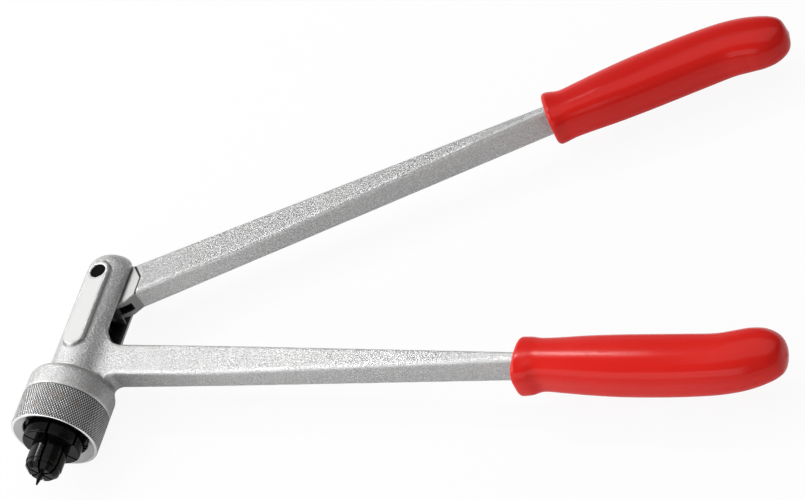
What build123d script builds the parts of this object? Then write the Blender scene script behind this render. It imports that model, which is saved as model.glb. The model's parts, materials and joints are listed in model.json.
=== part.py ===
from build123d import *
import math
import os

os.makedirs("parts", exist_ok=True)

# Driving dimensions in millimetres and degrees.
# The head axis is Y and the tube is pushed on from -Y. The pivot pin runs along Z, the fixed arm along +X.
# The origin is the centre of the face that stops the tube. The lever stands part open at rest.

# Lever travel and the expansion it gives
lever_angle = 26.1
closing_angle = 26.0
opening_angle = 19.0
cone_angle = 12.0
jaw_gap = 1.3
closed_jaw_gap = 0.15

# Clearances
press_clear = 0.02
running_clear = 0.05
part_clear = 0.3
seat_clear = 0.1

# Head casting
pivot_height = 100.8
column_radius = 15.7
dome_height = 17.0
dome_rounding = 11.0
flange_radius = 23.4
flange_bottom = 25.0
flange_height = 14.6
flange_rounding = 5.4
valley_fillet = 2.0
nose_radius = 20.9
nose_end = 15.0
nose_chamfer = 0.8
clevis_depth = 40.2
clevis_back_wall = 2.8
ear_edge_fillet = 1.4
pad_half_width = 6.1
pad_length = 41.2
pad_plane = 17.2
pad_edge_fillet = 0.4

# Handle arms, alike on the casting and on the lever
arm_drop = 49.8
arm_root_depth = 19.4
arm_waist_depth = 17.9
arm_grip_depth = 5.6
arm_root_width = 14.2
arm_waist_width = 12.6
arm_grip_width = 18.0
arm_waist = 80.0
arm_reach = 253.0
arm_bend_radius = 1200.0
arm_edge_fillet = 1.5
tang_length = 104.0
tang_lead = 5.0
tang_bend_radius = 160.0

# Sweep from the ears down to the fixed arm
sweep_inset = 3.3
sweep_reach = 31.0
sweep_rise = 15.2
sweep_drop = 9.0
sweep_run = 10.0
root_flare = 12.0
under_blend = 2.54

# Lever
lever_offset = 6.15
tongue_radius = 12.4
tongue_width = 12.4
tongue_depth = 18.6
tongue_heel = 9.0
tongue_corner = 3.0
milled_top = 17.5
milled_apex = 19.6
milled_bottom = 15.0

# Pivot
pin_radius = 4.2
pin_recess = 0.3
bush_wall = 1.8

# Cam and roller
roller_drop = 24.0
roller_radius = 6.5
roller_pin_radius = 2.5
roller_pin_inset = 0.3
cam_width = 4.6
cam_eye_radius = 10.2
cam_overrun = 4.0
cam_steps = 8
cam_dowel_radius = 1.6
cam_dowel_along = 4.0
cam_dowel_below = 12.5

# Mandrel
cone_tip_drop = 22.4
cone_tip_radius = 0.45
shank_radius = 8.9
shoulder_radius = 12.1
shoulder_height = 3.0
fork_width = 11.8
fork_rounding = 5.6
fork_flat_drop = 6.5

# Guide bush, spring and thrust washer in the nose
chamber_radius = 12.6
chamber_top = 42.0
guide_wall = 2.4
guide_flange = 2.0
guide_shelf = 3.0
spring_wire = 1.7
spring_turns = 4
washer_thickness = 1.9
washer_edge = 0.6

# Jaws
jaw_count = 6
jaw_turn = 41.0
finger_radius = 9.6
finger_length = 16.1
finger_band = 2.0
finger_step = 0.6
finger_step_run = 0.4
finger_taper = 2.4
finger_end_radius = 6.6
boss_radius = 15.6
boss_edge_fillet = 0.8
jaw_root_radius = 19.2
jaw_root_height = 3.7
ring_section = 1.0
ring_groove_depth = 2.1

# Collar nut
collar_radius = 23.5
collar_rim = 4.9
collar_wall = 2.4
collar_lip = 4.1
dish_depth = 2.0
rim_land = 1.5
rim_chamfer = 0.45

# Grips
grip_clear = 0.1
grip_length = 129.0
grip_roundness = 0.6
grip_end_fillet = 1.5
lower_grip_front = -3.7
upper_grip_front = -1.4

# Sizes that follow from the dimensions above
cone_slope = math.tan(math.radians(cone_angle))
jaw_close = jaw_gap - closed_jaw_gap
jaw_rate = jaw_close / math.radians(opening_angle)
jaw_spread = jaw_rate * math.radians(closing_angle)
mandrel_rate = jaw_rate / cone_slope
mandrel_rise = mandrel_rate * math.radians(opening_angle)
mandrel_stroke = mandrel_rate * math.radians(closing_angle)
cone_apex = -cone_tip_drop - cone_tip_radius / cone_slope
cone_top = cone_apex + shank_radius / cone_slope
roller_height = pivot_height - roller_drop
roller_width = cam_width + 2 * seat_clear - 2 * part_clear
cam_slot_reach = cam_eye_radius + part_clear
clevis_floor = pivot_height - clevis_depth
clevis_width = tongue_width + 2 * part_clear
column_top = pivot_height + dome_height
flange_top = flange_bottom + flange_height
arm_height = pivot_height - arm_drop
bush_radius = pin_radius + running_clear + bush_wall
guide_radius = shank_radius + running_clear + guide_wall
shoulder_top = chamber_top - guide_flange - mandrel_rise - part_clear
shoulder_bottom = shoulder_top - shoulder_height
fork_flat_start = clevis_floor - mandrel_rise - fork_flat_drop
washer_bottom = nose_end - washer_thickness
jaw_back = washer_bottom - seat_clear
jaw_root_front = jaw_back - jaw_root_height
band_back = finger_taper + finger_band - finger_length
collar_lip_back = collar_rim + collar_lip
collar_bore = collar_radius - collar_wall
collar_hole = boss_radius + jaw_spread + part_clear
spring_radius = (shank_radius + chamber_radius) / 2
spring_bottom = nose_end + spring_wire / 2 + seat_clear
spring_top = shoulder_bottom - spring_wire / 2 - seat_clear
ring_radius = jaw_root_radius - ring_groove_depth + ring_section

# The two handle planes: local x runs out along the arm and local z along the pivot pin
fixed_plane = Plane(origin=(0, arm_height, 0), x_dir=(1, 0, 0), z_dir=(0, 0, 1))
turn = math.radians(lever_angle)
lever_way = (math.cos(turn), math.sin(turn), 0)
lever_plane = Plane(origin=(0, pivot_height, 0), x_dir=lever_way, z_dir=(0, 0, 1))
lever_start = lever_plane.from_local_coords((0, -lever_offset, 0))
lever_line = Plane(lever_start, x_dir=lever_way, z_dir=(0, 0, 1))


def side_plane(plane):
    """The plane through an arm's centreline that shows its width along the pin."""
    return Plane(plane.origin, x_dir=plane.x_dir, z_dir=-plane.y_dir)


def arm_outline(start, root, waist, grip):
    """One side of an arm from its root over the waist to the tang's end, mirrored to close it."""
    tang_end = arm_reach + tang_length
    side = FilletPolyline(
        (start, root / 2),
        (arm_waist, waist / 2),
        (arm_reach - tang_lead, grip / 2),
        (tang_end, grip / 2),
        radius=(arm_bend_radius, tang_bend_radius),
    )
    mirror(side, about=Plane.XZ)
    Line((start, root / 2), (start, -root / 2))
    Line((tang_end, grip / 2), (tang_end, -grip / 2))


def handle_arm(plane, start):
    """A forged arm that loses depth and gains width towards the grip, with the tang that the grip covers."""
    with BuildPart() as arm:
        with BuildSketch(plane):
            with BuildLine():
                arm_outline(start, arm_root_depth, arm_waist_depth, arm_grip_depth)
            make_face()
        extrude(amount=arm_grip_width, both=True)
        with BuildSketch(side_plane(plane)):
            with BuildLine():
                arm_outline(start, arm_root_width, arm_waist_width, arm_grip_width)
            make_face()
        extrude(amount=arm_root_depth, both=True, mode=Mode.INTERSECT)
        long_edges = arm.edges().filter_by(
            lambda edge: abs(edge.tangent_at(0.5).dot(plane.x_dir)) > 0.5
        )
        fillet(long_edges, arm_edge_fillet)
    return arm.part


def handle_grip(plane, inward, front):
    """A dipped grip: lip, neck, palm swell and an end that hooks towards the other handle."""
    # Distance along the tang, reach towards the other handle, reach to the palm, half width
    stations = (
        (front, 12.2, 12.9, 12.3),
        (3.0, 12.0, 12.0, 12.0),
        (9.0, 12.1, 11.0, 11.7),
        (19.0, 12.6, 11.6, 12.0),
        (32.0, 13.1, 12.3, 12.4),
        (48.0, 13.4, 12.6, 12.5),
        (65.0, 13.6, 12.8, 12.6),
        (81.0, 13.7, 12.4, 12.5),
        (95.0, 14.0, 11.7, 12.3),
        (104.0, 15.6, 10.7, 12.1),
        (111.0, 17.4, 9.6, 11.8),
        (118.0, 17.8, 7.7, 11.2),
        (124.0, 15.8, 4.6, 9.6),
        (127.6, 12.4, 0.6, 6.6),
        (grip_length, 9.6, -3.2, 3.4),
    )
    with BuildPart() as grip:
        for along, reach, palm, half_width in stations:
            centre = plane.from_local_coords((arm_reach + along, inward * (reach - palm) / 2, 0))
            with BuildSketch(Plane(centre, x_dir=plane.y_dir, z_dir=plane.x_dir)):
                depth = reach + palm
                rounding = grip_roundness * min(depth / 2, half_width)
                RectangleRounded(depth, 2 * half_width, rounding)
        loft()
        tip = grip.faces().sort_by(Axis(plane.origin, plane.x_dir))[-1]
        fillet(tip.edges(), grip_end_fillet)
        mouth = plane.from_local_coords((arm_reach + front, 0, 0))
        with BuildSketch(Plane(mouth, x_dir=plane.y_dir, z_dir=plane.x_dir)):
            pocket_depth = arm_grip_depth + 2 * grip_clear
            pocket_width = arm_grip_width + 2 * grip_clear
            RectangleRounded(pocket_depth, pocket_width, arm_edge_fillet)
        extrude(amount=tang_length - front + grip_clear, mode=Mode.SUBTRACT)
    return grip.part


def write(part, name):
    """Label a finished piece and write it under its own name."""
    part.label = name
    export_step(part, f"parts/{name}.step")


# The slot between the ears, open at the top and towards the arm
with BuildPart() as clevis_slot:
    with BuildSketch(Plane.XY):
        with Locations((clevis_back_wall - column_radius, clevis_floor)):
            Rectangle(4 * column_radius, 2 * clevis_depth, align=(Align.MIN, Align.MIN))
    extrude(amount=clevis_width / 2, both=True)

# The same slot with its mouth rounded where it leaves the column
with BuildPart() as clevis_mouth:
    with BuildSketch(Plane.XZ.offset(-clevis_floor)) as mouth:
        Rectangle(2 * column_radius, clevis_width + 6 * ear_edge_fillet, align=(Align.MIN, Align.CENTER))
        Circle(column_radius, mode=Mode.SUBTRACT)
        with Locations((clevis_back_wall - column_radius, 0)):
            Rectangle(2 * column_radius, clevis_width, align=(Align.MIN, Align.CENTER))
        lips = mouth.vertices().filter_by(
            lambda corner: abs(abs(corner.Y) - clevis_width / 2) < press_clear
        )
        fillet(lips.group_by(Axis.X)[-1], ear_edge_fillet)
    extrude(amount=-2 * clevis_depth)

# Plan of the fixed arm's root, whose broad faces flare into the column
with BuildSketch(side_plane(fixed_plane)) as root_plan:
    with BuildLine():
        arm_outline(0, arm_root_width, arm_waist_width, arm_grip_width)
    make_face()
    Circle(column_radius)
    meeting = root_plan.vertices().filter_by(
        lambda corner: abs(math.hypot(corner.X, corner.Y) - column_radius) < press_clear
    )
    fillet(meeting.group_by(Axis.X)[-1], root_flare)

# Root of the fixed arm, where the ears sweep down to its upper edge
with BuildPart() as arm_root:
    with BuildSketch(fixed_plane):
        with BuildLine():
            face_edge = arm_waist_depth / 2 - arm_edge_fillet
            sweep_start = column_radius - sweep_inset
            ear_curve = Bezier(
                (sweep_start, face_edge + sweep_rise),
                (sweep_start, face_edge + sweep_rise - sweep_drop),
                (sweep_reach - sweep_run, face_edge),
                (sweep_reach, face_edge),
            )
            Polyline(
                ear_curve @ 1,
                (sweep_reach, -face_edge),
                (0, -face_edge),
                (0, face_edge + sweep_rise),
                ear_curve @ 0,
            )
        make_face()
    extrude(amount=column_radius, both=True)
    extrude(root_plan.sketch, amount=2 * column_radius, both=True, mode=Mode.INTERSECT)

# Blend between the flange's rounded edge and the underside of the fixed arm's root
arm_taper = (arm_root_depth - arm_waist_depth) / 2 / arm_waist
under_edge = arm_height - arm_root_depth / 2 + arm_taper * flange_radius
rounding_centre = Vector(flange_radius - flange_rounding, flange_top - flange_rounding)
under_gap = max(0, under_edge - flange_top)
blend_radius = under_gap / 2 + under_blend
blend_drop = under_edge - blend_radius - rounding_centre.Y
blend_run = math.sqrt((flange_rounding + blend_radius) ** 2 - blend_drop**2)
blend_way = Vector(blend_run, blend_drop).normalized()
blend_centre = rounding_centre + Vector(blend_run, blend_drop)

with BuildPart() as under_arm:
    with BuildSketch(Plane.XY):
        with BuildLine():
            blend_start = blend_centre + Vector(0, blend_radius)
            blend_end = rounding_centre + blend_way * flange_rounding
            blend_middle = blend_centre + (Vector(0, 1) - blend_way).normalized() * blend_radius
            ThreePointArc(blend_start, blend_middle, blend_end)
            Polyline(
                blend_end,
                rounding_centre,
                (0, rounding_centre.Y),
                (0, arm_height),
                (blend_centre.X, arm_height),
                blend_start,
            )
        make_face()
    revolve(axis=Axis.Y)
    extrude(root_plan.sketch, amount=2 * column_radius, both=True, mode=Mode.INTERSECT)

# Head casting: threaded nose, flange, clevis column, side pads and the fixed arm
fixed_arm = handle_arm(fixed_plane, 0)

with BuildPart() as head_casting:
    with BuildSketch(Plane.XY) as turned:
        with BuildLine():
            Polyline(
                (0, nose_end),
                (nose_radius, nose_end),
                (nose_radius, flange_bottom),
                (flange_radius, flange_bottom),
                (flange_radius, flange_top),
                (column_radius, flange_top),
                (column_radius, column_top),
                (0, column_top),
                close=True,
            )
        make_face()
        corners = turned.vertices()
        chamfer(corners.group_by(Axis.Y)[0].sort_by(Axis.X)[-1], nose_chamfer)
        fillet(turned.vertices().group_by(Axis.Y)[-1].sort_by(Axis.X)[-1], dome_rounding)
        shelf = turned.vertices().filter_by(lambda vertex: abs(vertex.Y - flange_top) < press_clear)
        fillet(shelf.sort_by(Axis.X)[-1], flange_rounding)
        fillet(shelf.sort_by(Axis.X)[0], valley_fillet)
    revolve(axis=Axis.Y)
    # Pads on both sides, standing proud of the column around the pin
    with BuildSketch(Plane.XY):
        with Locations((0, pivot_height - pad_length / 2)):
            SlotCenterToCenter(pad_length, 2 * pad_half_width, rotation=90)
    extrude(amount=pad_plane, both=True)
    pad_rims = head_casting.edges().filter_by(
        lambda edge: abs(abs(edge.center().Z) - pad_plane) < press_clear
    )
    fillet(pad_rims, pad_edge_fillet)
    add(clevis_mouth.part, mode=Mode.SUBTRACT)
    # Fixed arm and its root
    add(fixed_arm)
    add(arm_root.part)
    add(under_arm.part)
    add(clevis_slot.part, mode=Mode.SUBTRACT)
    # Bores along the head axis: spring chamber, guide bush seat and the way through to the clevis
    with BuildSketch(Plane.XY):
        with BuildLine():
            Polyline(
                (0, nose_end),
                (chamber_radius, nose_end),
                (chamber_radius, chamber_top),
                (guide_radius + press_clear, chamber_top),
                (guide_radius + press_clear, clevis_floor - guide_shelf),
                (shank_radius + part_clear, clevis_floor - guide_shelf),
                (shank_radius + part_clear, clevis_floor),
                (0, clevis_floor),
                close=True,
            )
        make_face()
    revolve(axis=Axis.Y, mode=Mode.SUBTRACT)
    # Pivot hole through both ears
    with BuildSketch(Plane.XY):
        with Locations((0, pivot_height)):
            Circle(pin_radius + press_clear)
    extrude(amount=2 * pad_plane, both=True, mode=Mode.SUBTRACT)
write(head_casting.part, "head_casting")

# Pivot pin, pressed into the ears
with BuildPart() as pivot_pin:
    with BuildSketch(Plane.XY):
        with Locations((0, pivot_height)):
            Circle(pin_radius)
    extrude(amount=pad_plane - pin_recess, both=True)
    chamfer(pivot_pin.edges().filter_by(GeomType.CIRCLE), pin_recess)
write(pivot_pin.part, "pivot_pin")

# Lever: arm, milled tongue in the clevis, slot for the cam plate and the eye
lever_blank = handle_arm(lever_line, 0)

with BuildPart() as lever_arm:
    add(lever_blank)
    # The milled faces end in a shallow point on the arm's centreline
    blank_top = arm_root_depth / 2 - lever_offset
    blank_bottom = -arm_root_depth / 2 - lever_offset
    with BuildSketch(lever_plane):
        with BuildLine():
            Polyline(
                (-tongue_radius, blank_top),
                (milled_top, blank_top),
                (milled_apex, -lever_offset),
                (milled_bottom, blank_bottom),
                (-tongue_radius, blank_bottom),
                close=True,
            )
        make_face()
    extrude(amount=arm_grip_width, both=True, mode=Mode.SUBTRACT)
    with BuildSketch(lever_plane) as tongue:
        with BuildLine():
            Polyline(
                (0, tongue_radius),
                (milled_top, blank_top),
                (milled_apex, -lever_offset),
                (milled_bottom, blank_bottom),
                (tongue_heel, -tongue_depth),
                (0, -tongue_depth),
                (-tongue_radius / 2, -tongue_radius),
                (0, 0),
                close=True,
            )
        make_face()
        heel = tongue.vertices().filter_by(lambda corner: abs(corner.Y + tongue_depth) < press_clear)
        fillet(heel, tongue_corner)
        Circle(tongue_radius)
    extrude(amount=tongue_width / 2, both=True)
    with BuildSketch(lever_plane):
        with Locations((cam_slot_reach, 0)):
            Rectangle(4 * tongue_radius, 4 * tongue_depth, align=(Align.MAX, Align.CENTER))
    extrude(amount=cam_width / 2 + seat_clear, both=True, mode=Mode.SUBTRACT)
    with BuildSketch(lever_plane):
        Circle(bush_radius + press_clear)
        with Locations((cam_dowel_along, -cam_dowel_below)):
            Circle(cam_dowel_radius + press_clear)
    extrude(amount=arm_grip_width, both=True, mode=Mode.SUBTRACT)
write(lever_arm.part, "lever_arm")

# Bush in the lever's eye
with BuildPart() as pivot_bush:
    with BuildSketch(lever_plane):
        Circle(bush_radius)
        Circle(pin_radius + running_clear, mode=Mode.SUBTRACT)
    extrude(amount=tongue_width / 2, both=True)
write(pivot_bush.part, "pivot_bush")


def cam_point(closing):
    """A point of the cam face, where the roller's centre recedes evenly as the lever closes."""
    reach = roller_drop + mandrel_rate * closing
    angle = closing - math.pi / 2
    outward = Vector(math.cos(angle), math.sin(angle))
    around = Vector(-math.sin(angle), math.cos(angle))
    along = (outward * mandrel_rate + around * reach).normalized()
    inward = Vector(-along.Y, along.X)
    return outward * reach + inward * (roller_radius + part_clear)


# Cam plate set in the tongue, with its dowel
cam_plane = Plane(origin=(0, pivot_height, 0))
cam_first = -math.radians(opening_angle + cam_overrun)
cam_span = math.radians(opening_angle + closing_angle + 2 * cam_overrun)
dowel_centre = lever_plane.from_local_coords((cam_dowel_along, -cam_dowel_below, 0))
dowel_place = cam_plane.to_local_coords(dowel_centre)

with BuildPart() as cam_plate:
    with BuildSketch(cam_plane):
        with BuildLine():
            cam_turns = [cam_first + cam_span * step / cam_steps for step in range(cam_steps + 1)]
            face = Spline([cam_point(closing) for closing in cam_turns])
            Polyline(face @ 1, (0, 0), face @ 0)
        make_face()
        Circle(cam_eye_radius)
        Circle(bush_radius + press_clear, mode=Mode.SUBTRACT)
        with Locations(dowel_place):
            Circle(cam_dowel_radius + press_clear, mode=Mode.SUBTRACT)
    extrude(amount=cam_width / 2, both=True)
write(cam_plate.part, "cam_plate")

with BuildPart() as cam_dowel:
    with BuildSketch(cam_plane):
        with Locations(dowel_place):
            Circle(cam_dowel_radius)
    extrude(amount=tongue_width / 2, both=True)
write(cam_dowel.part, "cam_dowel")

# Mandrel: working cone, spring shoulder and a forked top that carries the roller
with BuildPart() as mandrel:
    with BuildSketch(Plane.XY):
        with BuildLine():
            Polyline(
                (0, -cone_tip_drop),
                (cone_tip_radius, -cone_tip_drop),
                (shank_radius, cone_top),
                (shank_radius, shoulder_bottom),
                (shoulder_radius, shoulder_bottom),
                (shoulder_radius, shoulder_top),
                (shank_radius, shoulder_top),
                (shank_radius, roller_height),
                (0, roller_height),
                close=True,
            )
        make_face()
    revolve(axis=Axis.Y)
    with BuildSketch(Plane.XY):
        with Locations((0, roller_height)):
            Circle(fork_rounding)
    extrude(amount=fork_width / 2, both=True)
    # Flats that let the fork run between the ears
    with BuildSketch(Plane.XY.offset(fork_width / 2)):
        with Locations((0, fork_flat_start)):
            Rectangle(4 * shank_radius, 2 * clevis_depth, align=(Align.CENTER, Align.MIN))
    flat = extrude(amount=shank_radius, mode=Mode.SUBTRACT)
    mirror(flat, about=Plane.XY, mode=Mode.SUBTRACT)
    # Slot and cross hole for the roller
    with BuildSketch(Plane.XY):
        with Locations((0, roller_height - roller_radius - part_clear)):
            Rectangle(4 * shank_radius, 2 * clevis_depth, align=(Align.CENTER, Align.MIN))
    extrude(amount=roller_width / 2 + seat_clear, both=True, mode=Mode.SUBTRACT)
    with BuildSketch(Plane.XY):
        with Locations((0, roller_height)):
            Circle(roller_pin_radius + press_clear)
    extrude(amount=fork_width, both=True, mode=Mode.SUBTRACT)
write(mandrel.part, "mandrel")

with BuildPart() as cam_roller:
    with BuildSketch(Plane.XY):
        with Locations((0, roller_height)):
            Circle(roller_radius)
            Circle(roller_pin_radius + running_clear, mode=Mode.SUBTRACT)
    extrude(amount=roller_width / 2, both=True)
write(cam_roller.part, "cam_roller")

with BuildPart() as roller_pin:
    with BuildSketch(Plane.XY):
        with Locations((0, roller_height)):
            Circle(roller_pin_radius)
    extrude(amount=fork_width / 2 - roller_pin_inset, both=True)
write(roller_pin.part, "roller_pin")

# Flanged guide bush above the spring chamber
with BuildPart() as guide_bush:
    with BuildSketch(Plane.XY):
        with BuildLine():
            Polyline(
                (shank_radius + running_clear, chamber_top - guide_flange),
                (chamber_radius - seat_clear, chamber_top - guide_flange),
                (chamber_radius - seat_clear, chamber_top),
                (guide_radius, chamber_top),
                (guide_radius, clevis_floor - guide_shelf),
                (shank_radius + running_clear, clevis_floor - guide_shelf),
                close=True,
            )
        make_face()
    revolve(axis=Axis.Y)
write(guide_bush.part, "guide_bush")

# Thrust washer between the nose and the jaws, which is also the spring's lower seat
with BuildPart() as thrust_washer:
    with BuildSketch(Plane.XZ.offset(-nose_end)):
        Circle(nose_radius - washer_edge)
        Circle(shank_radius + part_clear, mode=Mode.SUBTRACT)
    extrude(amount=washer_thickness)
write(thrust_washer.part, "thrust_washer")


def coil_point(turns):
    """A point of the spring's centre line and its direction there, after so many turns."""
    angle = 2 * math.pi * turns
    rise = (spring_top - spring_bottom) / spring_turns
    across = spring_radius * math.cos(angle)
    depth = -spring_radius * math.sin(angle)
    point = Vector(across, spring_bottom + rise * turns, depth)
    heading = Vector(depth, rise / (2 * math.pi), -across)
    return point, heading.normalized()


# Return spring: one coil of round wire, each quarter turn two arcs that share their tangents
with BuildPart() as return_spring:
    with BuildLine() as coil:
        for quarter in range(4 * spring_turns):
            first, first_heading = coil_point(quarter / 4)
            last, last_heading = coil_point((quarter + 1) / 4)
            chord = last - first
            headings = first_heading + last_heading
            square = 4 - headings.dot(headings)
            lean = chord.dot(headings)
            arm = (math.sqrt(lean * lean + square * chord.dot(chord)) - lean) / square
            first_corner = first + first_heading * arm
            last_corner = last - last_heading * arm
            middle = (first_corner + last_corner) * 0.5
            TangentArc(first, middle, tangent=first_heading)
            TangentArc(middle, last, tangent=last_corner - first_corner)
    with BuildSketch(Plane(coil_point(0)[0], z_dir=coil_point(0)[1])):
        Circle(spring_wire / 2)
    sweep(path=coil.wire())
write(return_spring.part, "return_spring")

# Collar nut: dished front lip that keeps the jaws, bore for the nose thread
with BuildPart() as collar:
    with BuildSketch(Plane.XY) as ring:
        with BuildLine():
            Polyline(
                (collar_hole, collar_rim + dish_depth),
                (collar_radius - rim_land, collar_rim),
                (collar_radius, collar_rim),
                (collar_radius, flange_bottom - seat_clear),
                (collar_bore, flange_bottom - seat_clear),
                (collar_bore, collar_lip_back),
                (collar_hole, collar_lip_back),
                close=True,
            )
        make_face()
        chamfer(ring.vertices().group_by(Axis.X)[-1], rim_chamfer)
    revolve(axis=Axis.Y)
write(collar.part, "collar")

# Jaws: one segment, then the six around the cone
with BuildPart() as jaw:
    with BuildSketch(Plane.XY) as section:
        with BuildLine():
            Polyline(
                (0, jaw_back),
                (jaw_root_radius, jaw_back),
                (jaw_root_radius, jaw_root_front),
                (boss_radius, jaw_root_front),
                (boss_radius, 0),
                (finger_radius, 0),
                (finger_radius, band_back + finger_step_run),
                (finger_radius - finger_step, band_back),
                (finger_radius - finger_step, band_back - finger_band),
                (finger_end_radius, -finger_length),
                (0, -finger_length),
                close=True,
            )
        make_face()
        stop = section.vertices().filter_by(lambda vertex: abs(vertex.Y) < press_clear)
        fillet(stop.sort_by(Axis.X)[-1], boss_edge_fillet)
    revolve(axis=Axis.Y)
    # Groove for the retaining ring
    with BuildSketch(Plane.XY):
        with Locations((jaw_root_radius, jaw_back - jaw_root_height / 2)):
            Rectangle(2 * ring_groove_depth, 2 * ring_section + seat_clear)
    revolve(axis=Axis.Y, mode=Mode.SUBTRACT)
    # Bore that lies along the cone when the jaws are spread fully
    bore_apex = cone_apex - mandrel_stroke - part_clear / cone_slope
    bore_axis = Axis((-jaw_spread, 0, 0), (0, 1, 0))
    with BuildSketch(Plane.XY):
        with BuildLine():
            Polyline(
                (-jaw_spread, bore_apex),
                (-jaw_spread + (nose_end - bore_apex) * cone_slope, nose_end),
                (-jaw_spread, nose_end),
                close=True,
            )
        make_face()
    revolve(axis=bore_axis, mode=Mode.SUBTRACT)
    # The two flat sides of the segment
    half_sector = math.pi / jaw_count
    for side in (1, -1):
        facing = Vector(math.sin(half_sector), 0, -side * math.cos(half_sector))
        split(bisect_by=Plane(facing * (jaw_gap / 2), z_dir=facing), keep=Keep.TOP)

for number in range(jaw_count):
    write(jaw.part.rotate(Axis.Y, -jaw_turn - number * 360 / jaw_count), f"jaw_{number + 1}")

# Rubber ring that draws the jaws together
with BuildPart() as jaw_ring:
    with BuildSketch(Plane.XY):
        with Locations((ring_radius, jaw_back - jaw_root_height / 2)):
            Circle(ring_section)
    revolve(axis=Axis.Y)
write(jaw_ring.part, "jaw_ring")

# Grips on both tangs
write(handle_grip(fixed_plane, 1, lower_grip_front), "lower_grip")
write(handle_grip(lever_line, -1, upper_grip_front), "upper_grip")
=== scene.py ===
import bpy
import json
import math
import numpy as np
import bmesh
from collections import namedtuple
from mathutils import Matrix, Vector


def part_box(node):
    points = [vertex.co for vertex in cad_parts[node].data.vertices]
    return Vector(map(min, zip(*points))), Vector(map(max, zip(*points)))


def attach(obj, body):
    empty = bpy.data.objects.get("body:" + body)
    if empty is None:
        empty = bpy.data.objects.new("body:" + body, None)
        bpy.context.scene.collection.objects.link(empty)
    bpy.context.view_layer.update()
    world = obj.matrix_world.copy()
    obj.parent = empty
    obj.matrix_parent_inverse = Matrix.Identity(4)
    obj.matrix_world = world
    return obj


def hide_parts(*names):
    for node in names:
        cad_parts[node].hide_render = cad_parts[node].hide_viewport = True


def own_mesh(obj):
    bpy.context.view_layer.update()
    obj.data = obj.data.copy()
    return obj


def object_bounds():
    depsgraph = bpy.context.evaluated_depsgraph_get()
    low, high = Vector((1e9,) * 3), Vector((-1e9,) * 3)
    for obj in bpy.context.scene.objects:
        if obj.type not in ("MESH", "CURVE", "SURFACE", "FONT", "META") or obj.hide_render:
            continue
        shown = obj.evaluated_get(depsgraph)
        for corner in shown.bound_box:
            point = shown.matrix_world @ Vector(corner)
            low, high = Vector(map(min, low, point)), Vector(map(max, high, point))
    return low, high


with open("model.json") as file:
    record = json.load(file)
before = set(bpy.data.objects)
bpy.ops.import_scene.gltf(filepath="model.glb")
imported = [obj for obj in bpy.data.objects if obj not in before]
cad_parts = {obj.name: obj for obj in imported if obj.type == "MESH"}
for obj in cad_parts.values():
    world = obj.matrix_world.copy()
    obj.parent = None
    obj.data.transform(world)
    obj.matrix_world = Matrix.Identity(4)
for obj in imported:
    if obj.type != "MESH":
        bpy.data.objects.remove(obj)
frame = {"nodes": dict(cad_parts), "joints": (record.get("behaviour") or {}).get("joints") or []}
cad_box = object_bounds()
scene = bpy.context.scene
nodes = frame["nodes"]
MM = 0.001

# Castings, in metres, in the frame of the solids
pivot = Vector(next(joint["pos_m"] for joint in frame["joints"] if joint["name"] == "lever_swing"))
lever_turn = math.radians(26.1)
lever_offset = 6.15 * MM
lever_way = Vector((math.cos(lever_turn), math.sin(lever_turn), 0))
lever_side = Vector((-math.sin(lever_turn), math.cos(lever_turn), 0))
arm_height = 51.0 * MM
arm_reach = 253.0 * MM
pad_plane = 17.2 * MM
pad_bottom = 52.0 * MM
slot_half = 6.5 * MM
slot_floor = 60.6 * MM
slot_back = -12.9 * MM
nose_radius = 20.9 * MM
nose_slack = 0.4 * MM
flange_bottom = 25.0 * MM
divided_below = 0.6 * MM
threaded_below = 0.9 * MM
casting_voxel = 0.7 * MM
casting_smoothing = 4
casting_edge = 0.10 * MM
edge_smoothing = 2

# Tongue and lower face of the lever, in metres, with the slopes of the tongue's shoulder; the lower face
# gets painted light, strongest at the near distance
tongue_half = 6.2 * MM
milled_end = 20.0 * MM
shoulder_reach = 19.6 * MM
shoulder_slope_above = 0.217
shoulder_slope_below = 0.474
fork_half = 2.6 * MM
fork_floor = 10.8 * MM
bright_near = 10.0 * MM
bright_far = 110.0 * MM

# Thread of the nose and the collar, in millimetres
thread_pitch = 2.0
nose_groove = 0.5
bore_groove = 0.3
bore_flat = 0.04
thread_samples = 6

# Collar nut, in millimetres: an edge has points with their inset and depth, a break its two legs
collar_hole = 17.474
collar_bore = 21.1
collar_lip = 4.1
dish_depth = 2.0
dish_steps = 8
rim_width = 1.5
rim_edge = ((0.9, 0.0), (0.62, 0.05), (0.30, 0.32))
back_edge = ((0.35, 0.12), (0.6, 0.0))
hole_front_break = (0.25, 0.3)
hole_back_break = (0.3, 0.5)
bore_front_break = (0.3, 0.25)
bore_back_break = (0.5, 0.5)
knurl_around = 98
knurl_samples = 6
knurl_edge = 0.45
knurl_rise = 2.0
knurl_depth = 0.45
knurl_power = 1.15
crest_radius = 23.17
root_radius = 22.7
land_radius = 21.8
land_height = 5.3

# Turning marks, in radians to the metre
collar_marks = 42000.0
steel_marks = 26000.0

# Grips, in millimetres
grip_stations = (
    # along, reach to the other handle, reach to the palm, half width, squareness
    (0.0, 13.3, 13.7, 12.3, 3.8),
    (3.0, 13.3, 13.0, 12.0, 3.8),
    (9.0, 12.5, 10.9, 11.8, 3.8),
    (19.0, 12.9, 11.6, 12.1, 3.7),
    (32.0, 13.7, 12.7, 12.6, 3.6),
    (48.0, 14.2, 13.6, 12.8, 3.6),
    (65.0, 14.4, 13.8, 12.9, 3.5),
    (81.0, 14.5, 13.4, 12.8, 3.5),
    (95.0, 14.9, 12.6, 12.6, 3.4),
    (104.0, 16.9, 11.5, 12.4, 3.2),
    (111.0, 18.7, 10.1, 12.0, 3.0),
    (118.0, 18.8, 7.6, 11.2, 2.8),
    (124.0, 16.4, 4.5, 9.6, 2.6),
    (127.4, 12.6, 0.9, 6.8, 2.4),
    (128.9, 7.2, -5.4, 0.4, 2.0),
)
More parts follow.
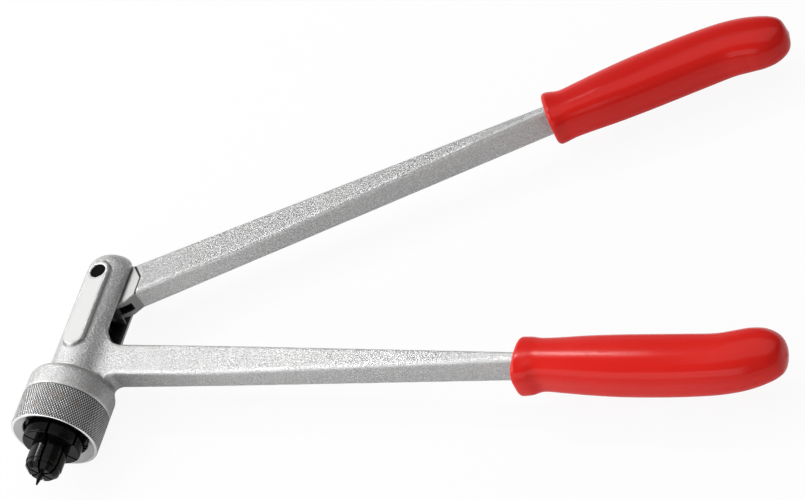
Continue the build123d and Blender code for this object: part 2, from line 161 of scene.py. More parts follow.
# The pocket round the tang and its mouth: both reaches, half width, squareness
pocket_section = (2.9, 2.9, 9.1, 6.0)
mouth_section = (3.6, 3.6, 9.6, 5.0)
pocket_end = 12.0
pocket_start = 0.6
mouth_start = 0.15
grip_around = 72
grip_steps = 7
grip_crown = 0.17
grip_edge = 0.05
lip_radius = 2.6
lip_steps = 8
lip_gap = 0.4
lower_front = -3.7
upper_front = -1.4

# Jaws, their ring and the return spring, in millimetres and degrees
jaw_numbers = range(1, 7)
jaw_turn = 41.0
jaw_spacing = 60.0
jaw_weld = 0.002
jaw_flat_angle = 0.5
jaw_break = 0.18
jaw_break_steps = 3
jaw_break_angle = 28.0
jaw_edge = 0.25
ring_radius = 18.1
ring_section = 0.98
ring_height = 11.15
ring_overlap = 0.8
ring_steps = 24
ring_around = 16
spring_radius = 10.75
spring_wire = 0.85
spring_turns = 4
spring_bottom = 15.95
spring_top = 31.04
spring_steps = 56
spring_around = 14
rod_ends = ((0.35, 0.75), (0.55, 0.35))

# A place on a piece, as its X, Y and Z
Spot = namedtuple("Spot", "across upward beside")


class Wire:
    """A value in a finish's node tree. Arithmetic on it adds the Math nodes."""

    def __init__(self, finish, socket):
        self.finish = finish
        self.socket = socket

    def maths(self, operation, *values):
        return self.finish.add("ShaderNodeMath", {"operation": operation}, dict(enumerate(values)))

    def __add__(self, other):
        return self.maths("ADD", self, other)

    def __radd__(self, other):
        return self.maths("ADD", other, self)

    def __sub__(self, other):
        return self.maths("SUBTRACT", self, other)

    def __rsub__(self, other):
        return self.maths("SUBTRACT", other, self)

    def __mul__(self, other):
        return self.maths("MULTIPLY", self, other)

    def __rmul__(self, other):
        return self.maths("MULTIPLY", other, self)

    def __pow__(self, other):
        return self.maths("POWER", self, other)

    def __abs__(self):
        return self.maths("ABSOLUTE", self)

    def wave(self):
        return self.maths("SINE", self)

    def at_least(self, other):
        return self.maths("MAXIMUM", self, other)

    def step(self, low, high):
        """A soft step from 0 at low to 1 at high, which may be the lower of the two."""
        settings = {"interpolation_type": "SMOOTHSTEP"}
        return self.finish.add("ShaderNodeMapRange", settings, {0: self, 1: low, 2: high})

    def part(self, name):
        """Another output of the node that this value comes from."""
        return Wire(self.finish, self.socket.node.outputs[name])


class Finish:
    """A node tree that a material or the world is built up in."""

    def __init__(self, owner):
        owner.use_nodes = True
        self.owner = owner
        self.tree = owner.node_tree
        self.tree.nodes.clear()

    def add(self, kind, settings, sockets, output=0):
        """A node with its settings, then the values or links of its sockets."""
        node = self.tree.nodes.new(kind)
        for key, value in settings.items():
            setattr(node, key, value)
        for key, value in sockets.items():
            if isinstance(value, Wire):
                self.tree.links.new(value.socket, node.inputs[key])
            else:
                node.inputs[key].default_value = value
        return Wire(self, node.outputs[output]) if node.outputs else None

    def place(self):
        """Position on the piece, in metres, carried along by the piece."""
        return self.add("ShaderNodeTexCoord", {}, {}).part("Object")

    def spot(self):
        """The same position as its three numbers."""
        apart = self.add("ShaderNodeSeparateXYZ", {}, {"Vector": self.place()})
        return Spot(apart.part("X"), apart.part("Y"), apart.part("Z"))

    def outward(self):
        """The way that the surface faces, fixed to the piece."""
        return self.add("ShaderNodeTexCoord", {}, {}).part("Normal")

    def facing(self, direction, way):
        """How squarely a direction points a way, 1 at most."""
        settings = {"operation": "DOT_PRODUCT"}
        return self.add("ShaderNodeVectorMath", settings, {0: direction, 1: way}, output=1)

    def grain(self, scale, detail=2.0, roughness=0.5, place=None):
        """Noise from 0 to 1 with so many features to the metre."""
        sockets = {"Vector": place or self.place(), "Scale": scale, "Detail": detail, "Roughness": roughness}
        return self.add("ShaderNodeTexNoise", {}, sockets)

    def mix(self, share, first, second):
        """A colour between two colours."""
        return self.add("ShaderNodeMix", {"data_type": "RGBA"}, {0: share, 6: first, 7: second}, output=2)

    def brighten(self, share, colour):
        """The colour made brighter by that share of itself."""
        settings = {"data_type": "RGBA", "blend_type": "MULTIPLY", "clamp_result": True}
        return self.add("ShaderNodeMix", settings, {0: share, 6: colour, 7: shade(2.0)}, output=2)

    def relief(self, height, distance, strength):
        """A bump of so many metres where the height is 1."""
        return self.add("ShaderNodeBump", {}, {"Height": height, "Distance": distance, "Strength": strength})

    def vertex_value(self, name):
        """A value stored at the vertices of the piece."""
        return self.add("ShaderNodeAttribute", {"attribute_name": name}, {}).part("Fac")

    def surface(self, sockets):
        """The material, with its one shader set up."""
        shader = self.add("ShaderNodeBsdfPrincipled", {}, sockets)
        self.add("ShaderNodeOutputMaterial", {}, {"Surface": shader})
        return self.owner


def new_finish(name):
    return Finish(bpy.data.materials.new(name))


def shade(level):
    """A grey."""
    return (level, level, level, 1.0)


def tinted(level, tint):
    """A grey with a tint."""
    return (*(level * part for part in tint), 1.0)


def cast_silver(name, machined, dark, level, brighter=None):
    """Blasted and silvered casting: fine bright grain, smooth machined faces, black painted shade in the
    given dark places, grey painted shade in hollows, edges brightened as wear and painted highlight, and
    optional painted light.
    """
    finish = new_finish(name)
    spot = finish.spot()
    smooth = machined(spot)
    painted_black = dark(spot)
    wear = finish.vertex_value("wear") ** 1.5
    hollow = finish.vertex_value("hollow")
    fine = finish.grain(2100.0, roughness=0.6)
    pebbled = finish.grain(720.0, detail=3.0, roughness=0.6)
    broad = finish.grain(45.0)
    stretch = {"Vector": finish.place(), "Rotation": (0, 0, math.radians(35)), "Scale": (1.0, 0.22, 1.0)}
    strokes = finish.grain(620.0, place=finish.add("ShaderNodeMapping", {}, stretch))
    cool = tinted(level, (0.905, 0.91, 0.925))
    warm = tinted(level, (1.05, 1.04, 1.015))
    worn_and_highlight = shade(0.84)
    hollow_shade = (0.20, 0.20, 0.195, 1)
    milled = (0.50, 0.50, 0.495, 1)
    shade_black = shade(0.006)
    base = finish.mix(broad, cool, warm)
    base = finish.mix(strokes.step(0.50, 0.74) * 0.5, base, shade(1.28 * level))
    base = finish.mix(pebbled.step(0.50, 0.34) * 0.5, base, shade(0.78 * level))
    base = finish.mix(fine.step(0.46, 0.34) * 0.6, base, shade(0.50 * level))
    base = finish.mix(fine.step(0.52, 0.66), base, shade(1.58 * level))
    # Painted light: the base colour made brighter by the share given
    if brighter:
        base = finish.brighten(brighter(finish, spot), base)
    # Convex edges made brighter, partly as wear and partly as painted highlight
    base = finish.mix(wear, base, worn_and_highlight)
    # Painted shade: hollows darkened towards grey
    base = finish.mix(hollow.step(0.02, 0.40) * 0.8, base, hollow_shade)
    base = finish.mix(smooth, base, milled)
    # Painted shade: black, less metallic and rougher in the given dark places
    colour = finish.mix(painted_black, base, shade_black)
    rough = (0.34 + 0.14 * pebbled - 0.14 * wear) * (1 - smooth) + 0.56 * smooth + 0.10 * painted_black
    height = (0.6 * pebbled + 0.25 * fine + 0.15 * strokes) * (1 - 0.93 * smooth) * (1 - 0.6 * wear)
    skin = finish.relief(height, 0.85 * MM, 1.0)
    return finish.surface({"Base Color": colour, "Metallic": 1 - painted_black, "Roughness": rough, "Normal": skin})


def pad_faces(spot):
    """The faces of the two pads, ground flat."""
    proud = abs(spot.beside).step(pad_plane - 0.25 * MM, pad_plane - 0.1 * MM)
    return proud * spot.upward.step(pad_bottom, pad_bottom + 1.0 * MM)


def clevis_painted_shade(spot):
    """The walls of the slot between the ears, painted black up to their lips as shade."""
    between = abs(spot.beside).step(slot_half + 0.95 * MM, slot_half + 0.70 * MM)
    above = spot.upward.step(slot_floor + 0.6 * MM, slot_floor + 1.0 * MM)
    return between * above * spot.across.step(slot_back - 0.6 * MM, slot_back - 0.3 * MM)


def tongue_sides(spot):
    """The milled sides of the tongue."""
    within = abs(spot.beside).step(tongue_half + 0.3 * MM, tongue_half + 0.1 * MM)
    return spot.across.step(milled_end + 1.0 * MM, milled_end) * within


def tongue_painted_shade(spot):
    """Painted shade along the shoulder of the milled sides and in the fork, and about a third as much over
    the end of the tongue.
    """
    height = spot.upward - pivot.y
    depth = abs(spot.beside)
    along = spot.across * math.cos(lever_turn) + height * math.sin(lever_turn)
    aside = height * math.cos(lever_turn) - spot.across * math.sin(lever_turn) + lever_offset
    above = shoulder_slope_above * aside.at_least(0.0)
    below = shoulder_slope_below * (0.0 - aside).at_least(0.0)
    line = abs(along - (shoulder_reach - above - below) + 0.25 * MM).step(0.80 * MM, 0.50 * MM)
    beside_tongue = depth.step(tongue_half + 1.2 * MM, tongue_half + 0.8 * MM)
    past_edge = depth.step(tongue_half - 0.5 * MM, tongue_half - 0.2 * MM)
    in_fork = depth.step(fork_half + 0.3 * MM, fork_half) * along.step(fork_floor + 0.4 * MM, fork_floor)
    ends = depth.step(tongue_half - 0.3 * MM, tongue_half - 0.7 * MM)
    # Painted shade at about a third strength over the end of the tongue
    dull = 0.34 * ends * spot.across.step(milled_end + 1.0 * MM, milled_end)
    return (line * beside_tongue * past_edge).at_least(in_fork).at_least(dull)


def underside_painted_light(finish, spot):
    """How much painted light brightens the lower face of the lever, more so towards the pivot."""
    under = finish.facing(finish.outward(), -lever_side).step(0.55, 0.85)
    return under * (0.22 + 0.75 * spot.across.step(bright_far, bright_near))


def red_vinyl():
    """Dipped vinyl: a soft gloss over a faint orange peel."""
    finish = new_finish("red_vinyl")
    broad = finish.grain(38.0)
    peel = finish.grain(260.0)
    pores = finish.grain(1900.0)
    hollow = finish.vertex_value("hollow")
    full_red = (0.67, 0.014, 0.010, 1)
    light_red = (0.74, 0.019, 0.014, 1)
    pore_red = (0.46, 0.006, 0.005, 1)
    hollow_shade_red = (0.40, 0.005, 0.004, 1)
    colour = finish.mix(broad, full_red, light_red)
    colour = finish.mix(pores.step(0.62, 0.80) * 0.35, colour, pore_red)
    # Painted shade: hollows darkened towards deep red
    colour = finish.mix(hollow * 0.5, colour, hollow_shade_red)
    rough = 0.13 + 0.05 * broad + 0.04 * pores
    skin = finish.relief(0.8 * peel + 0.2 * pores, 0.04 * MM, 0.5)
    return finish.surface(
        {"Base Color": colour, "Roughness": rough, "Normal": skin, "Specular IOR Level": 0.20}
    )


def black_oxide(name, dullness, sheen):
    """Blackened and oiled steel, browned where it has rubbed."""
    finish = new_finish(name)
    broad = finish.grain(120.0, detail=3.0)
    fine = finish.grain(1400.0)
    rub = finish.vertex_value("wear")
    oiled_black = (0.0012, 0.0012, 0.0013, 1)
    dry_black = (0.0035, 0.0033, 0.003, 1)
    rubbed_brown = (0.075, 0.068, 0.06, 1)
    colour = finish.mix(broad.step(0.35, 0.7), oiled_black, dry_black)
    colour = finish.mix(rub * fine.step(0.35, 0.6), colour, rubbed_brown)
    rough = dullness + 0.08 * broad + 0.05 * fine + 0.10 * rub
    skin = finish.relief(fine, 0.01 * MM, 0.2)
    return finish.surface(
        {"Base Color": colour, "Roughness": rough, "Normal": skin, "Specular IOR Level": sheen}
    )


def knurled_steel():
    """Plated collar: bright crests, a land brightened as polish and painted highlight, and painted shade
    between the diamonds.
    """
    finish = new_finish("knurled_steel")
    flat = finish.add("ShaderNodeVectorMath", {"operation": "MULTIPLY"}, {0: finish.place(), 1: (1, 0, 1)})
    radius = finish.add("ShaderNodeVectorMath", {"operation": "LENGTH"}, {0: flat}, output=1)
    upward = finish.spot().upward
    crest = radius.step(crest_radius * MM, (crest_radius + 0.10) * MM)
    knurl = radius.step(root_radius * MM, (root_radius + 0.2) * MM)
    knurl = knurl * upward.step(land_height * MM, (land_height + 0.2) * MM)
    land = radius.step(land_radius * MM, (land_radius + 0.2) * MM)
    land = land * upward.step(land_height * MM, (land_height - 0.15) * MM)
    grain = finish.grain(700.0, detail=3.0)
    stained = finish.grain(130.0, detail=4.0, roughness=0.6)
    dull_plate = (0.42, 0.425, 0.435, 1)
    plate = (0.52, 0.52, 0.515, 1)
    plate_stain = (0.36, 0.345, 0.32, 1)
    land_and_highlight = shade(0.88)
    groove_shade = (0.015, 0.015, 0.016, 1)
    dull_crest = (0.54, 0.55, 0.57, 1)
    bright_crest = (0.70, 0.69, 0.67, 1)
    knurl_stain = (0.22, 0.19, 0.16, 1)
    base = finish.mix(grain, dull_plate, plate)
    base = finish.mix(stained.step(0.75, 0.30) * 0.3, base, plate_stain)
    # The land made brighter, partly as polish and partly as painted highlight
    base = finish.mix(land, base, land_and_highlight)
    # Painted shade: near-black at the bottoms of the grooves between the diamonds
    diamonds = finish.mix(crest, groove_shade, finish.mix(grain, dull_crest, bright_crest))
    colour = finish.mix(knurl, base, diamonds)
    colour = finish.mix(knurl * stained.step(0.52, 0.62) * 0.5, colour, knurl_stain)
    rough = 0.14 + 0.08 * stained + 0.04 * grain + 0.12 * knurl
    turning = (radius * collar_marks).wave()
    skin = finish.relief((0.4 * turning + grain) * (1 - 0.8 * knurl), 0.02 * MM, 0.5)
    return finish.surface({"Base Color": colour, "Metallic": 1.0, "Roughness": rough, "Normal": skin})


def turned_steel():
    """Ground steel of the roller and its pin, the cam plate and dowel, the washer and the spring."""
    finish = new_finish("turned_steel")
    grain = finish.grain(260.0, detail=3.0)
    scratches = finish.grain(900.0)
    dark_steel = (0.48, 0.48, 0.49, 1)
    bright_steel = (0.62, 0.61, 0.60, 1)
    colour = finish.mix(grain, dark_steel, bright_steel)
    rough = 0.22 + 0.2 * grain
    turning = (finish.spot().upward * steel_marks).wave()
    skin = finish.relief(0.4 * turning + 0.6 * scratches, 0.02 * MM, 0.5)
    return finish.surface({"Base Color": colour, "Metallic": 1.0, "Roughness": rough, "Normal": skin})


def sintered_bronze():
    """Oil-filled bronze of the two bushes."""
    finish = new_finish("sintered_bronze")
    pores = finish.grain(2600.0)
    broad = finish.grain(160.0)
    dark_bronze = (0.55, 0.34, 0.16, 1)
    bright_bronze = (0.68, 0.45, 0.23, 1)
    pore_bronze = (0.20, 0.12, 0.06, 1)
    colour = finish.mix(broad, dark_bronze, bright_bronze)
    colour = finish.mix(pores.step(0.6, 0.8), colour, pore_bronze)
    rough = 0.34 + 0.2 * pores
    skin = finish.relief(pores, 0.03 * MM, 0.6)
    return finish.surface({"Base Color": colour, "Metallic": 1.0, "Roughness": rough, "Normal": skin})


def ring_rubber():
    """Black rubber with a dull bloom."""
    finish = new_finish("ring_rubber")
    bloom = finish.grain(300.0, detail=3.0)
    fresh_black = (0.014, 0.014, 0.015, 1)
    bloomed_black = (0.032, 0.032, 0.034, 1)
    colour = finish.mix(bloom, fresh_black, bloomed_black)
    rough = 0.5 + 0.2 * bloom
    skin = finish.relief(finish.grain(2200.0), 0.03 * MM, 0.5)
    return finish.surface({"Base Color": colour, "Roughness": rough, "Normal": skin})


def show(piece, finish, body, replaced):
    """Give a piece its finish, set it on its body and let it stand for a solid."""
    piece.data.materials.clear()
    piece.data.materials.append(finish)
    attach(piece, body)
    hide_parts(replaced)


def new_piece(name, points, faces):
    mesh = bpy.data.meshes.new(name)
    mesh.from_pydata([tuple(point) for point in points], [], faces)
    mesh.validate()
    mesh.shade_smooth()
    piece = bpy.data.objects.new(name, mesh)
    scene.collection.objects.link(piece)
    return piece


def solid_copy(node, name):
    """A new piece that starts as a copy of a solid."""
    piece = bpy.data.objects.new(name, nodes[node].data.copy())
    scene.collection.objects.link(piece)
    return piece


def apply_modifiers(piece):
    """Make what the modifiers give the piece's own mesh."""
    graph = bpy.context.evaluated_depsgraph_get()
    mesh = bpy.data.meshes.new_from_object(piece.evaluated_get(graph))
    piece.modifiers.clear()
    piece.data = mesh
    mesh.name = piece.name


def band_faces(rings, around, loop=False):
    """Quads between neighbouring rings of points, each ring with so many points around."""
    faces = []
    for ring in range(rings if loop else rings - 1):
        upper = (ring + 1) % rings
        for step in range(around):
            after = (step + 1) % around
            faces.append(
                (ring * around + step, ring * around + after, upper * around + after, upper * around + step)
            )
    return faces


def capped_faces(rings, around):
    """The same quads, with a face to close each end."""
    first = tuple(reversed(range(around)))
    last = tuple(range((rings - 1) * around, rings * around))
    return [*band_faces(rings, around), first, last]


def through(stations, steps):
    """Values on a smooth curve through the stations, with so many steps between two of them."""
    rows = np.array(stations, float)
    rows = np.vstack([2 * rows[0] - rows[1], rows, 2 * rows[-1] - rows[-2]])
    values = []
    for first in range(1, len(rows) - 2):
        before, here, there, beyond = rows[first - 1 : first + 3]
        slope = there - before
        bend = 2 * before - 5 * here + 4 * there - beyond
        twist = 3 * here - before - 3 * there + beyond
        for step in range(steps):
            share = step / steps
            values.append(0.5 * (2 * here + slope * share + bend * share**2 + twist * share**3))
    values.append(rows[-2])
    return values


def read_rows(items, field, width, kind=float):
    """A field of a mesh's vertices or edges, one row each."""
    values = np.zeros(len(items) * width, kind)
    items.foreach_get(field, values)
    return values.reshape(-1, width)


def mark_edges(mesh, sharpest):
    """Store how far each vertex stands out as an edge, or lies in a hollow, for the finishes to read."""
    points = read_rows(mesh.vertices, "co", 3)
    normals = read_rows(mesh.vertex_normals, "vector", 3)
    ends = read_rows(mesh.edges, "vertices", 2, int)
    edge_count = np.maximum(np.bincount(ends.ravel(), minlength=len(points)), 1)

    def next_to(values):
        """The average of the values at each vertex's neighbours."""
        total = np.zeros_like(values)
        np.add.at(total, ends[:, 0], values[ends[:, 1]])
        np.add.at(total, ends[:, 1], values[ends[:, 0]])
        return (total.T / edge_count).T

    bend = np.einsum("ij,ij->i", next_to(points) - points, normals)
    for _ in range(edge_smoothing):
        bend = 0.5 * bend + 0.5 * next_to(bend)
    for name, values in (("wear", -bend), ("hollow", bend)):
        attribute = mesh.attributes.new(name, "FLOAT", "POINT")
        attribute.data.foreach_set("value", np.clip(values / sharpest, 0, 1).astype(np.float32))


def cast_skin(node, name):
    """A casting's solid re-skinned with an even mesh, its edges eased."""
    piece = solid_copy(node, name)
    remesh = piece.modifiers.new("even_mesh", "REMESH")
    remesh.mode = "VOXEL"
    remesh.voxel_size = casting_voxel
    ease = piece.modifiers.new("eased_edges", "SMOOTH")
    ease.factor = 0.5
    ease.iterations = casting_smoothing
    apply_modifiers(piece)
    piece.data.shade_smooth()
    return piece


def cut_nose_thread(mesh):
    """Divide the nose finely and sink its thread into it."""
    shape = bmesh.new()
    shape.from_mesh(mesh)

    def on_nose(vertex, margin):
        """Whether a vertex is on the outside of the nose, so far below the flange."""
        out = math.hypot(vertex.co.x, vertex.co.z)
        return out > nose_radius - nose_slack and vertex.co.y < flange_bottom - margin

    edges = [edge for edge in shape.edges if all(on_nose(vertex, divided_below) for vertex in edge.verts)]
    bmesh.ops.subdivide_edges(shape, edges=edges, cuts=2, use_grid_fill=True)
    for vertex in shape.verts:
        if on_nose(vertex, threaded_below):
            turn = math.atan2(vertex.co.z, vertex.co.x) / (2 * math.pi)
            groove = 1 - abs(((vertex.co.y / (thread_pitch * MM) + turn) % 1) - 0.5) * 2
            share = 1 - nose_groove * MM * groove / nose_radius
            vertex.co.x *= share
            vertex.co.z *= share
    bmesh.ops.triangulate(shape, faces=[face for face in shape.faces if len(face.verts) > 4])
    shape.to_mesh(mesh)
    shape.free()
    mesh.shade_smooth()


def eased_jaw(node, name):
    """A copy of a jaw with its sharp edges broken."""
    piece = solid_copy(node, name)
    weld = piece.modifiers.new("weld", "WELD")
    weld.merge_threshold = jaw_weld * MM
    flatten = piece.modifiers.new("flat_faces", "DECIMATE")
    flatten.decimate_type = "DISSOLVE"
    flatten.angle_limit = math.radians(jaw_flat_angle)
    bevel = piece.modifiers.new("broken_edges", "BEVEL")
    bevel.width = jaw_break * MM
    bevel.segments = jaw_break_steps
    bevel.limit_method = "ANGLE"
    bevel.angle_limit = math.radians(jaw_break_angle)
    even = piece.modifiers.new("even_shading", "WEIGHTED_NORMAL")
    even.weight = 80
    piece.data.shade_smooth()
    apply_modifiers(piece)
    mark_edges(piece.data, jaw_edge * MM)
    return piece


def grip_ring(origin, along, inward, station):
    """Points around a grip's section: a rounded block, as wide as the station says."""
    distance, reach, palm, half_width, square = station
    middle = (reach - palm) / 2
    half_depth = (reach + palm) / 2
    ring = []
    for step in range(grip_around):
        angle = 2 * math.pi * step / grip_around
        across = math.copysign(abs(math.cos(angle)) ** (2 / square), math.cos(angle))
        beside = math.copysign(abs(math.sin(angle)) ** (2 / square), math.sin(angle))
        beside *= 1 - grip_crown * across**2
        offset = inward * (middle + half_depth * across) + Vector((0, 0, half_width * beside))
        ring.append(origin + (along * distance + offset) * MM)
    return ring


def dipped_grip(name, origin, along, inward, start):
    """A grip from its pocket round the tang, over the rolled lip, to the hooked end."""
    rows = [
        (pocket_end, *pocket_section),
        (start + pocket_start, *pocket_section),
        (start + mouth_start, *mouth_section),
    ]
    front = (start, *grip_stations[0][1:])
    body = through((front, *grip_stations[1:]), grip_steps)
    distances = [row[0] for row in body]
    for step in range(lip_steps + 1):
        turn = math.pi / 2 * step / lip_steps
        inset = lip_radius * (1 - math.sin(turn))
        distance = start + lip_radius * (1 - math.cos(turn))
        reach, palm, half_width, square = (
            np.interp(distance, distances, [row[column] for row in body]) for column in range(1, 5)
        )
        rows.append((distance, reach - inset, palm - inset, half_width - inset, square))
    rows.extend(row for row in body if row[0] > start + lip_radius + lip_gap)
    points = [point for row in rows for point in grip_ring(origin, along, inward, row)]
    piece = new_piece(name, points, capped_faces(len(rows), grip_around))
    mark_edges(piece.data, grip_edge * MM)
    return piece


def collar_nut(name):
    """The collar: dished front, rim, diamond knurl right across and a threaded bore."""
    low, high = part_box("collar")
    rim = low.y / MM
    back = high.y / MM
    outer = high.x / MM
    lip_back = rim + collar_lip
    dish_start = collar_hole + hole_front_break[0]
    dish_width = outer - rim_width - dish_start
    rows = [(collar_hole, lip_back - hole_back_break[1], "plain")]
    rows.append((collar_hole, rim + dish_depth + hole_front_break[1], "plain"))
    for step in range(dish_steps + 1):
        share = step / dish_steps
        rows.append((dish_start + dish_width * share, rim + dish_depth * (1 - share), "plain"))
    rows.extend((outer - inset, rim + depth, "plain") for inset, depth in rim_edge)
    knurl_width = back - rim - 2 * knurl_edge
    steps = round(knurl_width / (knurl_rise / knurl_samples))
    for step in range(steps + 1):
        rows.append((outer, rim + knurl_edge + knurl_width * step / steps, "knurl"))
    rows.extend((outer - inset, back - depth, "plain") for inset, depth in back_edge)
    rows.append((collar_bore + bore_back_break[0], back, "plain"))
    thread_length = back - lip_back - 2 * bore_back_break[1]
    steps = round(thread_length / thread_pitch * thread_samples)
    for step in range(steps + 1):
        rows.append((collar_bore, back - bore_back_break[1] - thread_length * step / steps, "thread"))
    rows.append((collar_bore, lip_back + bore_front_break[1], "plain"))
    rows.append((collar_bore - bore_front_break[0], lip_back, "plain"))
    rows.append((collar_hole + hole_back_break[0], lip_back, "plain"))
    around = knurl_around * knurl_samples
    points = []
    for radius, along, kind in rows:
        for step in range(around):
            turn = step / around
            here = radius
            if kind == "knurl":
                across = turn * knurl_around
                rise = (along - rim) / knurl_rise
                grooves = (abs(((across + sign * rise) % 1) - 0.5) * 2 for sign in (1, -1))
                here -= knurl_depth * max(grooves) ** knurl_power
            if kind == "thread":
                here += bore_groove * abs((((along / thread_pitch) + turn) % 1) - 0.5) * 2 - bore_flat
            angle = 2 * math.pi * turn
            points.append(Vector((here * math.cos(angle), along, here * math.sin(angle))) * MM)
    return new_piece(name, points, band_faces(len(rows), around, loop=True))


def round_rod(name, centres, headings, outward, section, around):
    """A round rod along the centres, closed by rounded ends."""
    last = len(centres) - 1
    rows = [(0, -ahead, share) for ahead, share in reversed(rod_ends)]
    rows += [(step, 0.0, 1.0) for step in range(len(centres))]
    rows += [(last, ahead, share) for ahead, share in rod_ends]
    points = []
    for step, ahead, share in rows:
        side = headings[step].cross(outward[step]).normalized()
        for corner in range(around):
            angle = 2 * math.pi * corner / around
            reach = outward[step] * math.cos(angle) + side * math.sin(angle)
            points.append((centres[step] + headings[step] * section * ahead + reach * section * share) * MM)
    return new_piece(name, points, capped_faces(len(rows), around))


def coil_spring(name):
    """One right-hand coil round the mandrel, from the washer to the shoulder."""
    steps = spring_steps * spring_turns
    rise = (spring_top - spring_bottom) / spring_turns / (2 * math.pi)
    centres, headings, outward = [], [], []
    for step in range(steps + 1):
        angle = 2 * math.pi * spring_turns * step / steps
        out = Vector((math.cos(angle), 0, -math.sin(angle)))
        ahead = Vector((-math.sin(angle) * spring_radius, rise, -math.cos(angle) * spring_radius))
        centres.append(out * spring_radius + Vector((0, spring_bottom + rise * angle, 0)))
        headings.append(ahead.normalized())
        outward.append(out)
    return round_rod(name, centres, headings, outward, spring_wire, spring_around)


def ring_arc(name, number):
    """The sixth of the rubber ring that lies in one jaw's groove, long enough to meet its neighbours."""
    middle = math.radians(jaw_turn + jaw_spacing * (number - 1))
    half = math.radians(jaw_spacing / 2) + ring_overlap / ring_radius
    centres, headings, outward = [], [], []
    for step in range(ring_steps + 1):
        angle = middle + half * (2 * step / ring_steps - 1)
        out = Vector((math.cos(angle), 0, math.sin(angle)))
        centres.append(out * ring_radius + Vector((0, ring_height, 0)))
        headings.append(Vector((-math.sin(angle), 0, math.cos(angle))))
        outward.append(out)
    return round_rod(name, centres, headings, outward, ring_section, ring_around)


def stand(holder, place, sideways, backward):
    """Set a lamp or the camera at a place, its back and its right-hand side turned the ways given."""
    backward = backward.normalized()
    sideways = (sideways - backward * sideways.dot(backward)).normalized()
    turned = Matrix((sideways, backward.cross(sideways), backward)).transposed().to_4x4()
    turned.translation = place
    holder.matrix_world = turned


def softbox(name, place, wide, tall, power):
    """A soft light at a place, turned to the middle of the tool, its long side along the arms."""
    lamp = bpy.data.lights.new(name, "AREA")
    lamp.shape = "RECTANGLE"
    lamp.size = wide
    lamp.size_y = tall
    lamp.energy = power
    holder = bpy.data.objects.new(name, lamp)
    scene.collection.objects.link(holder)
    middle = (cad_box[0] + cad_box[1]) / 2
    stand(holder, Vector(place), Vector((1, 0, 0)), Vector(place) - middle)


# Finishes
head_silver = cast_silver("head_silver", pad_faces, clevis_painted_shade, level=0.50)
# The lever has the head's casting finish at a lower level as painted shade, plus painted light on its lower
# face
shaded_lever_silver = cast_silver("shaded_lever_silver", tongue_sides, tongue_painted_shade, level=0.37, brighter=underside_painted_light)
vinyl = red_vinyl()
blackened = black_oxide("blackened_steel", dullness=0.05, sheen=0.13)
pin_black = black_oxide("pin_black", dullness=0.55, sheen=0.04)
collar_plate = knurled_steel()
steel = turned_steel()
bronze = sintered_bronze()
rubber = ring_rubber()

# Castings
head_skin = cast_skin("head_casting", "head_skin")
cut_nose_thread(head_skin.data)
mark_edges(head_skin.data, casting_edge)
show(head_skin, head_silver, "head", "head_casting")
lever_skin = cast_skin("lever_arm", "lever_skin")
mark_edges(lever_skin.data, casting_edge)
show(lever_skin, shaded_lever_silver, "lever", "lever_arm")

# Grips
lower_start = Vector((arm_reach, arm_height, 0))
lower_vinyl = dipped_grip("lower_vinyl", lower_start, Vector((1, 0, 0)), Vector((0, 1, 0)), lower_front)
show(lower_vinyl, vinyl, "head", "lower_grip")
upper_start = pivot - lever_side * lever_offset + lever_way * arm_reach
upper_vinyl = dipped_grip("upper_vinyl", upper_start, lever_way, -lever_side, upper_front)
show(upper_vinyl, vinyl, "lever", "upper_grip")

# Collar and jaws
collar_ring = collar_nut("collar_ring")
show(collar_ring, collar_plate, "collar", "collar")
for number in jaw_numbers:
    segment = eased_jaw(f"jaw_{number}", f"jaw_segment_{number}")
    show(segment, blackened, f"jaw_{number}", f"jaw_{number}")

# Spring and ring
coil = coil_spring("spring_coil")
show(coil, steel, "head", "return_spring")
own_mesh(coil)
for number in jaw_numbers:
    arc = ring_arc(f"ring_arc_{number}", number)
    show(arc, rubber, f"jaw_{number}", "jaw_ring")

# Solids that keep their shape
for node, finish in (
    ("pivot_pin", pin_black),
    ("mandrel", blackened),
    ("roller_pin", steel),
    ("cam_roller", steel),
    ("cam_plate", steel),
    ("cam_dowel", steel),
    ("thrust_washer", steel),
    ("guide_bush", bronze),
    ("pivot_bush", bronze),
):
    nodes[node].data.materials.clear()
    nodes[node].data.materials.append(finish)

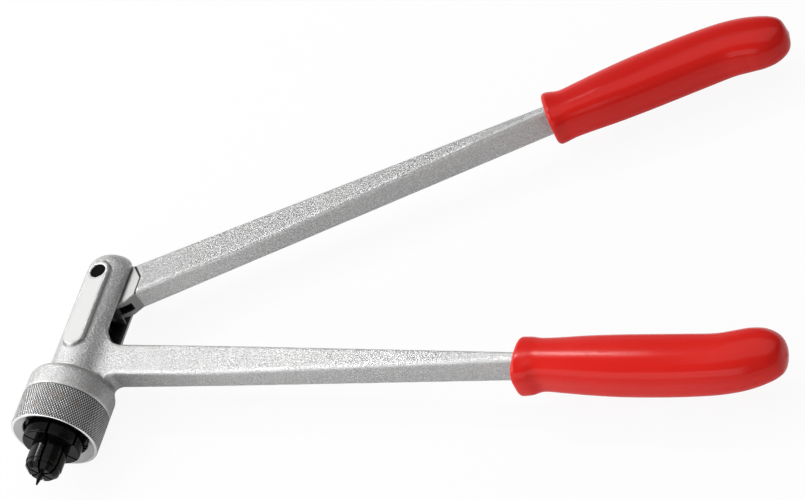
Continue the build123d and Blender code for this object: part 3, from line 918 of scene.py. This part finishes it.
# Floor: nearly white to the camera, a little of that in the metal, plain paper to all other light
floor_half = 4.0
paper_white = 0.82
seen_white = 0.92
mirrored_white = 0.18
floor_corners = ((-1, -1), (1, -1), (1, 1), (-1, 1))
floor_points = [(x * floor_half, y * floor_half, cad_box[0].z) for x, y in floor_corners]
floor = new_piece("floor", floor_points, [(0, 1, 2, 3)])
pale = new_finish("pale_floor")
paper = pale.add("ShaderNodeBsdfDiffuse", {}, {"Color": shade(paper_white)})
glow = pale.add("ShaderNodeEmission", {}, {"Color": shade(1.0), "Strength": 1.0})
paths = pale.add("ShaderNodeLightPath", {}, {})
mirrored = paths.part("Is Glossy Ray").at_least(paths.part("Is Transmission Ray"))
whiteness = (seen_white * paths.part("Is Camera Ray")).at_least(mirrored_white * mirrored)
both = pale.add("ShaderNodeMixShader", {}, {0: whiteness, 1: paper, 2: glow})
pale.add("ShaderNodeOutputMaterial", {}, {"Surface": both})
floor.data.materials.append(pale.owner)

# World: white to the camera, soft studio grey with a bright side to everything else
studio = Finish(bpy.data.worlds.new("studio"))
shown = studio.add("ShaderNodeLightPath", {}, {}).part("Is Camera Ray")
heading = studio.add("ShaderNodeTexCoord", {}, {}).part("Generated")
studio_grey = 0.14
bright_strength = 1.25
bright_side = Vector((-0.93, 0.34, -0.10)).normalized()
ambient = studio_grey + bright_strength * studio.facing(heading, bright_side).step(0.40, 0.95)
strength = ambient * (1 - shown) + shown
backing = studio.add("ShaderNodeBackground", {}, {"Color": shade(1.0), "Strength": strength})
studio.add("ShaderNodeOutputWorld", {}, {"Surface": backing})
scene.world = studio.owner

# Lamps
softbox("strip_softbox", (-0.46, 0.62, 1.0), wide=0.60, tall=0.05, power=4.6)
softbox("left_softbox", (-1.10, -0.22, 1.07), wide=0.9, tall=0.9, power=13.0)
softbox("top_softbox", (0.55, 0.50, 1.40), wide=1.5, tall=1.5, power=7.0)
softbox("front_softbox", (-0.20, -1.35, 0.66), wide=2.0, tall=1.2, power=12.0)

# Camera at the photograph's place
lens = bpy.data.cameras.new("photo_camera")
lens.sensor_width = 36.0
lens.lens = 113.3
camera = bpy.data.objects.new("photo_camera", lens)
scene.collection.objects.link(camera)
camera_place = Vector((0.73033, -0.58718, 0.92616))
camera_right = Vector((0.9003, 0.2475, -0.358))
camera_back = Vector((0.4348, -0.548, 0.7146))
stand(camera, camera_place, camera_right, camera_back)
scene.camera = camera
scene.view_settings.view_transform = "Standard"

bpy.context.view_layer.update()
